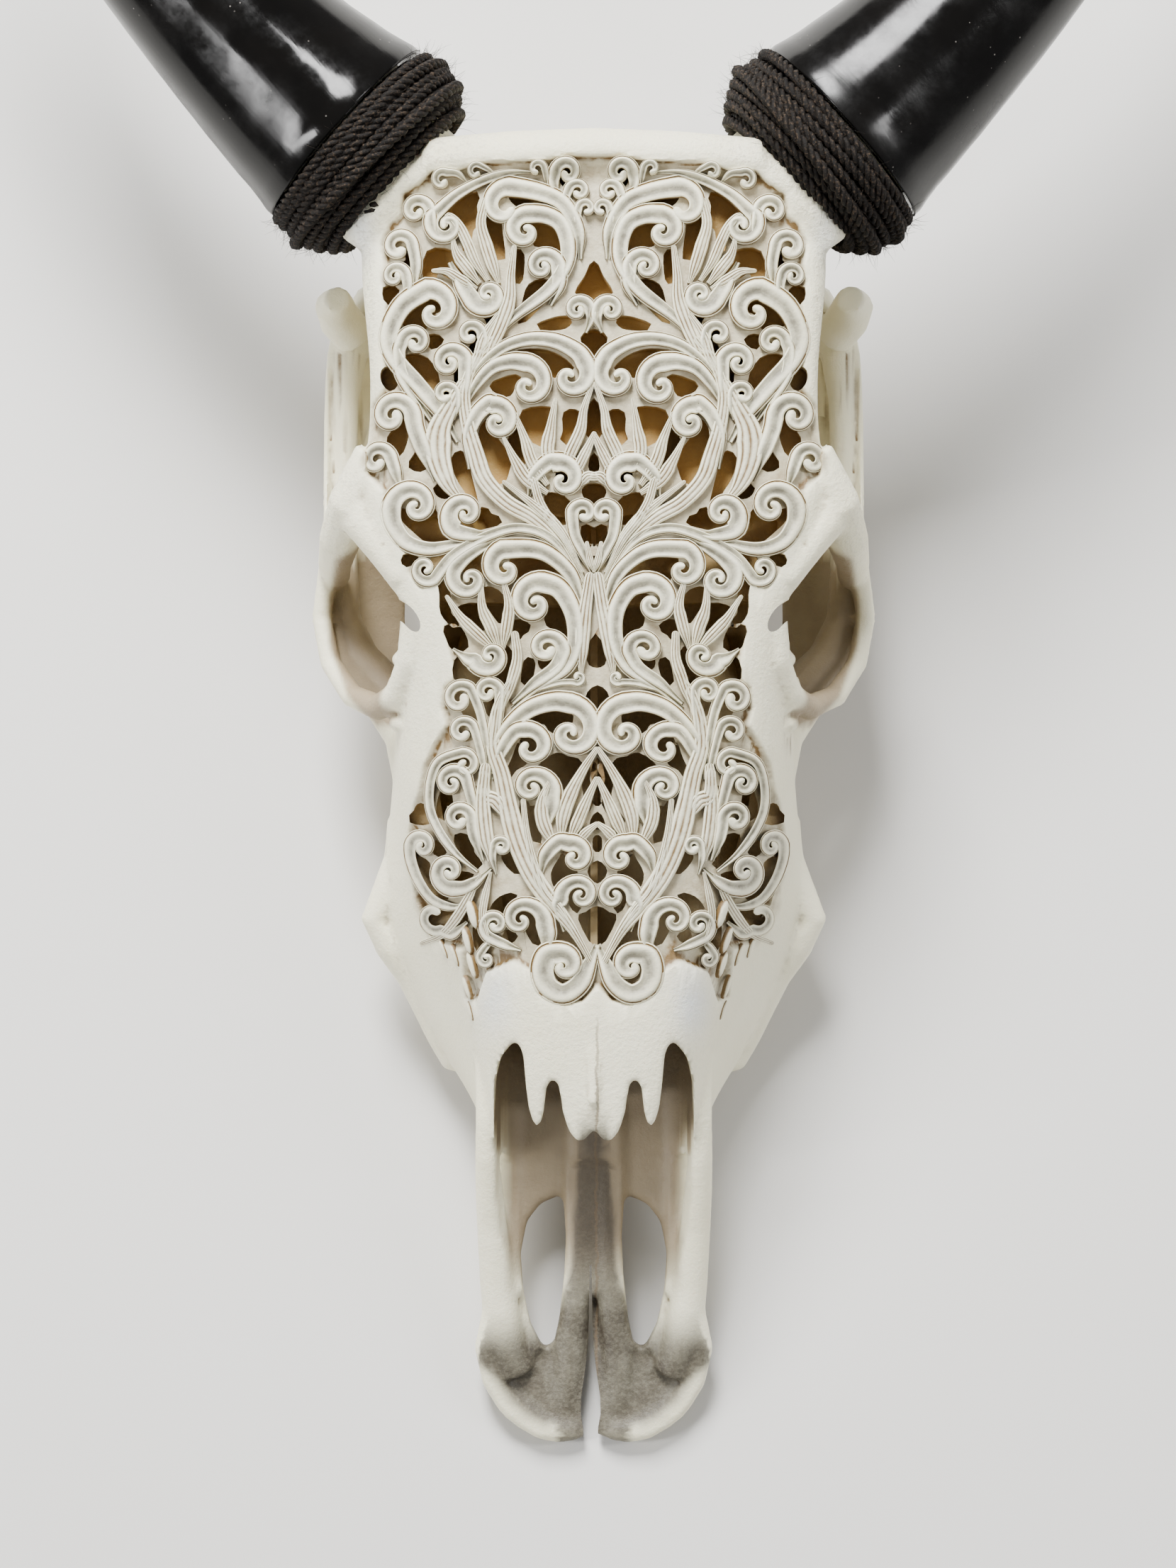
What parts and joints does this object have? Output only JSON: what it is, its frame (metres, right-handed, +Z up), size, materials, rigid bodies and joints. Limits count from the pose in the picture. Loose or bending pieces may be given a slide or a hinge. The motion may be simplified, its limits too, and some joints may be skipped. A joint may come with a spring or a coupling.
{
  "type": "carved cow skull",
  "caption": "Cow skull with a pierced scroll pattern carved through its face, black horns bound on with dark cord, lying face up on its cheek teeth.",
  "frame": {"origin": "middle of the whole object's footprint, on the table it lies on", "axes": "+Y from the nose to the poll and horn tips, +Z up out of the face, +X to the skull's right in the picture"},
  "size_m": [0.4976, 0.7796, 0.2665],
  "materials": {
    "bone": "dry, bleached",
    "tooth": "worn enamel",
    "horn": "polished",
    "rope": "twisted fibre"
  },
  "bodies": {
    "root": {"skull": "bone", "horn_left": "horn", "rope_binding_left": "rope", "premolar_1_left": "tooth", "premolar_2_left": "tooth", "premolar_3_left": "tooth", "molar_1_left": "tooth", "molar_2_left": "tooth", "molar_3_left": "tooth", "horn_right": "horn", "rope_binding_right": "rope", "premolar_1_right": "tooth", "premolar_2_right": "tooth", "premolar_3_right": "tooth", "molar_1_right": "tooth", "molar_2_right": "tooth", "molar_3_right": "tooth"}
  },
  "joints": []
}
